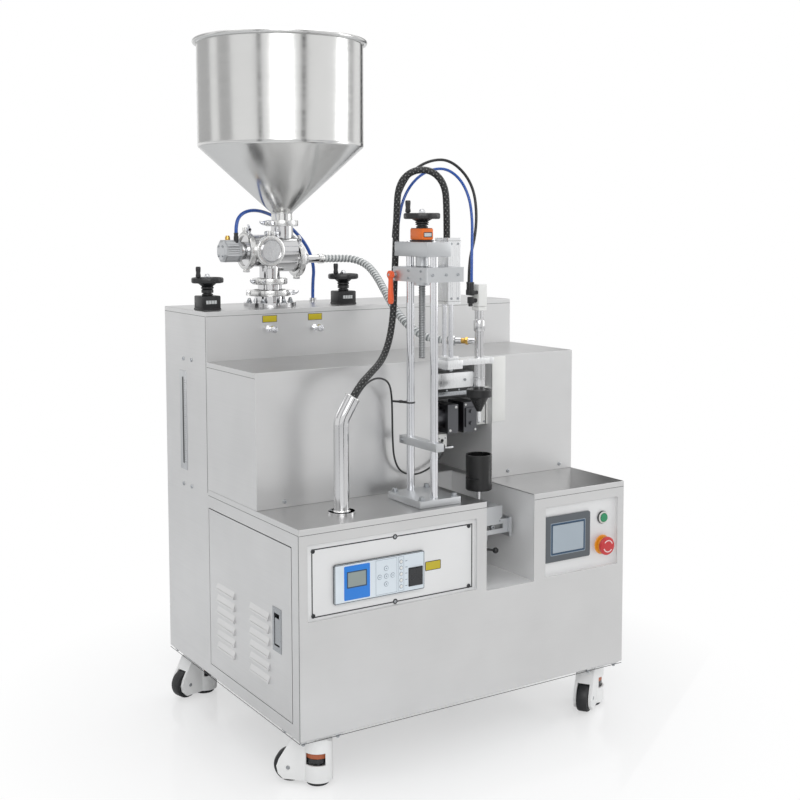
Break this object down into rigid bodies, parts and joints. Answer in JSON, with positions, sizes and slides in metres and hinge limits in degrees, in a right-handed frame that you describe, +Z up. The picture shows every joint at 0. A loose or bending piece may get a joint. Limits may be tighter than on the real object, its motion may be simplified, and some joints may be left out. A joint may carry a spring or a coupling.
{
  "type": "ultrasonic sealing machine",
  "caption": "Floor-standing tube filling and ultrasonic sealing machine: steel cabinets on levelling castors, round hopper, valve, height-set nozzle, tube cup and sealing jaws.",
  "frame": {"origin": "on the floor, under the middle of the machine without its cords", "axes": "+Z up, +X to the operator's right, +Y from the front to the back"},
  "size_m": [0.8446, 0.7316, 1.476],
  "materials": {
    "sheet_steel": "fine brushed stainless sheet",
    "polished_steel": "polished stainless steel",
    "machined_steel": "ground steel",
    "aluminium": "satin anodised aluminium",
    "black_plastic": "black engineering plastic",
    "orange_plastic": "orange moulded plastic",
    "panel": "pale grey-green enamel",
    "green_button": "green moulded plastic",
    "red_button": "red moulded plastic",
    "hose_black": "black cable sleeve and tube",
    "hose_clear": "translucent hose",
    "tube_blue": "blue air tube",
    "castor_body": "pale grey cast metal",
    "castor_wheel": "nylon",
    "castor_foot": "black rubber"
  },
  "bodies": {
    "machine": {"base_cabinet": "sheet_steel", "bay_linings": "sheet_steel", "hood": "sheet_steel", "rear_cabinet": "sheet_steel", "rear_cover": "sheet_steel", "mains_inlet": "black_plastic", "fasteners": "machined_steel", "generator": "panel", "touch_screen": "panel", "button_collars": "panel", "column_frame": "machined_steel", "position_counters": "orange_plastic", "seal_frame": "aluminium", "hopper": "polished_steel", "valve_body": "polished_steel", "tri_clamps": "polished_steel", "valve_fittings": "polished_steel", "valve_actuator": "aluminium", "metering_unit": "polished_steel", "control_plate": "black_plastic", "cable_pipe": "polished_steel", "castor_plates": "machined_steel", "cable_bundle": "hose_black", "product_hose": "hose_clear", "valve_tube": "tube_blue", "sensor_cable": "hose_black"},
    "side_door": {"side_door": "sheet_steel", "latch_dish": "machined_steel"},
    "latch": {"latch_paddle": "machined_steel"},
    "rocker": {"rocker_switch": "black_plastic"},
    "start": {"start_button": "green_button"},
    "stop": {"stop_button": "red_button"},
    "column_screw": {"column_wheel": "machined_steel"},
    "carriage": {"carriage": "aluminium", "nozzle_cylinder": "aluminium"},
    "clamp_lever": {"clamp_lever": "orange_plastic"},
    "yoke": {"yoke": "machined_steel", "filling_nozzle": "polished_steel", "nozzle_tubes": "hose_black"},
    "horn": {"horn": "machined_steel"},
    "anvil": {"anvil": "aluminium"},
    "metering_piston": {"metering_piston": "polished_steel"},
    "cup_slide": {"cup_slide": "machined_steel"},
    "tube_cup": {"tube_cup": "black_plastic"},
    "lock_lever": {"lock_lever": "black_plastic"},
    "stroke_left": {"stroke_wheel_left": "machined_steel"},
    "stroke_right": {"stroke_wheel_right": "machined_steel"},
    "valve_rotor": {"valve_rotor": "machined_steel"},
    "castor_front_left": {"castor_front_left_housing": "castor_body"},
    "wheel_front_left": {"castor_front_left_wheel": "castor_wheel"},
    "foot_front_left": {"castor_front_left_foot": "castor_foot"},
    "castor_front_right": {"castor_front_right_housing": "castor_body"},
    "wheel_front_right": {"castor_front_right_wheel": "castor_wheel"},
    "foot_front_right": {"castor_front_right_foot": "castor_foot"},
    "castor_rear_left": {"castor_rear_left_housing": "castor_body"},
    "wheel_rear_left": {"castor_rear_left_wheel": "castor_wheel"},
    "foot_rear_left": {"castor_rear_left_foot": "castor_foot"},
    "castor_rear_right": {"castor_rear_right_housing": "castor_body"},
    "wheel_rear_right": {"castor_rear_right_wheel": "castor_wheel"},
    "foot_rear_right": {"castor_rear_right_foot": "castor_foot"}
  },
  "joints": [
    {"name": "door_hinge", "type": "hinge", "parent": "machine", "child": "side_door", "pos_m": [-0.39445, 0.04952, 0.3], "axis": [0, 0, -1], "range_deg": [0, 100]},
    {"name": "latch_tip", "type": "hinge", "parent": "side_door", "child": "latch", "pos_m": [-0.39445, -0.26148, 0.311], "axis": [0, 1, 0], "range_deg": [0, 30], "stiffness_Nm_per_rad": 0.05},
    {"name": "rocker_tilt", "type": "hinge", "parent": "machine", "child": "rocker", "pos_m": [-0.14145, -0.34647, 0.381], "axis": [1, 0, 0], "range_deg": [-8, 8]},
    {"name": "start_press", "type": "slide", "parent": "machine", "child": "start", "axis": [0, 1, 0], "range_m": [0, 0.004], "stiffness_N_per_m": 500},
    {"name": "stop_press", "type": "slide", "parent": "machine", "child": "stop", "axis": [0, 1, 0], "range_m": [0, 0.005], "stiffness_N_per_m": 800},
    {"name": "carriage_height", "type": "slide", "parent": "machine", "child": "carriage", "axis": [0, 0, 1], "range_m": [-0.05, 0]},
    {"name": "column_wheel_turn", "type": "hinge", "parent": "machine", "child": "column_screw", "pos_m": [-0.07745, -0.27748, 1.078], "axis": [0, 0, 1], "continuous": true},
    {"name": "clamp_lever_turn", "type": "hinge", "parent": "carriage", "child": "clamp_lever", "pos_m": [-0.10745, -0.22048, 0.966], "axis": [1, 0, 0], "range_deg": [-75, 20]},
    {"name": "nozzle_lift", "type": "slide", "parent": "carriage", "child": "yoke", "axis": [0, 0, 1], "range_m": [0, 0.085]},
    {"name": "horn_close", "type": "slide", "parent": "machine", "child": "horn", "axis": [1, 0, 0], "range_m": [0, 0.006]},
    {"name": "anvil_close", "type": "slide", "parent": "machine", "child": "anvil", "axis": [-1, 0, 0], "range_m": [0, 0.006]},
    {"name": "metering_stroke", "type": "slide", "parent": "machine", "child": "metering_piston", "axis": [0, 0, 1], "range_m": [0, 0.1]},
    {"name": "cup_travel", "type": "slide", "parent": "machine", "child": "cup_slide", "axis": [0, 1, 0], "range_m": [0, 0.095]},
    {"name": "cup_turn", "type": "hinge", "parent": "cup_slide", "child": "tube_cup", "pos_m": [0.09255, -0.23847, 0.475], "axis": [0, 0, 1], "continuous": true},
    {"name": "lock_lever_turn", "type": "hinge", "parent": "machine", "child": "lock_lever", "pos_m": [0.04355, -0.25348, 0.392], "axis": [0, 1, 0], "range_deg": [-20, 20]},
    {"name": "stroke_turn_left", "type": "hinge", "parent": "machine", "child": "stroke_left", "pos_m": [-0.36295, 0.12953, 0.942], "axis": [0, 0, 1], "continuous": true},
    {"name": "stroke_turn_right", "type": "hinge", "parent": "machine", "child": "stroke_right", "pos_m": [-0.02595, 0.12953, 0.942], "axis": [0, 0, 1], "continuous": true},
    {"name": "valve_turn", "type": "hinge", "parent": "machine", "child": "valve_rotor", "pos_m": [-0.19345, 0.17053, 1.009], "axis": [1, 0, 0], "range_deg": [0, 90]},
    {"name": "swivel_front_left", "type": "hinge", "parent": "machine", "child": "castor_front_left", "pos_m": [-0.34945, -0.30347, 0.105], "axis": [0, 0, 1], "continuous": true},
    {"name": "roll_front_left", "type": "hinge", "parent": "castor_front_left", "child": "wheel_front_left", "pos_m": [-0.38066, -0.27537, 0.0325], "axis": [0.6691, 0.7431, 0], "continuous": true},
    {"name": "level_front_left", "type": "slide", "parent": "castor_front_left", "child": "foot_front_left", "axis": [0, 0, 1], "range_m": [0, 0.01]},
    {"name": "swivel_front_right", "type": "hinge", "parent": "machine", "child": "castor_front_right", "pos_m": [0.35055, -0.30347, 0.105], "axis": [0, 0, 1], "continuous": true},
    {"name": "roll_front_right", "type": "hinge", "parent": "castor_front_right", "child": "wheel_front_right", "pos_m": [0.31615, -0.32756, 0.0325], "axis": [-0.5736, 0.8192, 0], "continuous": true},
    {"name": "level_front_right", "type": "slide", "parent": "castor_front_right", "child": "foot_front_right", "axis": [0, 0, 1], "range_m": [0, 0.01]},
    {"name": "swivel_rear_left", "type": "hinge", "parent": "machine", "child": "castor_rear_left", "pos_m": [-0.34945, 0.23453, 0.105], "axis": [0, 0, 1], "continuous": true},
    {"name": "roll_rear_left", "type": "hinge", "parent": "castor_rear_left", "child": "wheel_rear_left", "pos_m": [-0.39002, 0.22365, 0.0325], "axis": [-0.2588, 0.9659, 0], "continuous": true},
    {"name": "level_rear_left", "type": "slide", "parent": "castor_rear_left", "child": "foot_rear_left", "axis": [0, 0, 1], "range_m": [0, 0.01]},
    {"name": "swivel_rear_right", "type": "hinge", "parent": "machine", "child": "castor_rear_right", "pos_m": [0.35055, 0.23453, 0.105], "axis": [0, 0, 1], "continuous": true},
    {"name": "roll_rear_right", "type": "hinge", "parent": "castor_rear_right", "child": "wheel_rear_right", "pos_m": [0.39002, 0.24889, 0.0325], "axis": [0.342, -0.9397, 0], "continuous": true},
    {"name": "level_rear_right", "type": "slide", "parent": "castor_rear_right", "child": "foot_rear_right", "axis": [0, 0, 1], "range_m": [0, 0.01]}
  ],
  "couplings": [
    {"joint": "column_wheel_turn", "follows": "carriage_height", "rad_per_m": 1256.6},
    {"joint": "anvil_close", "follows": "horn_close", "ratio": 1}
  ]
}
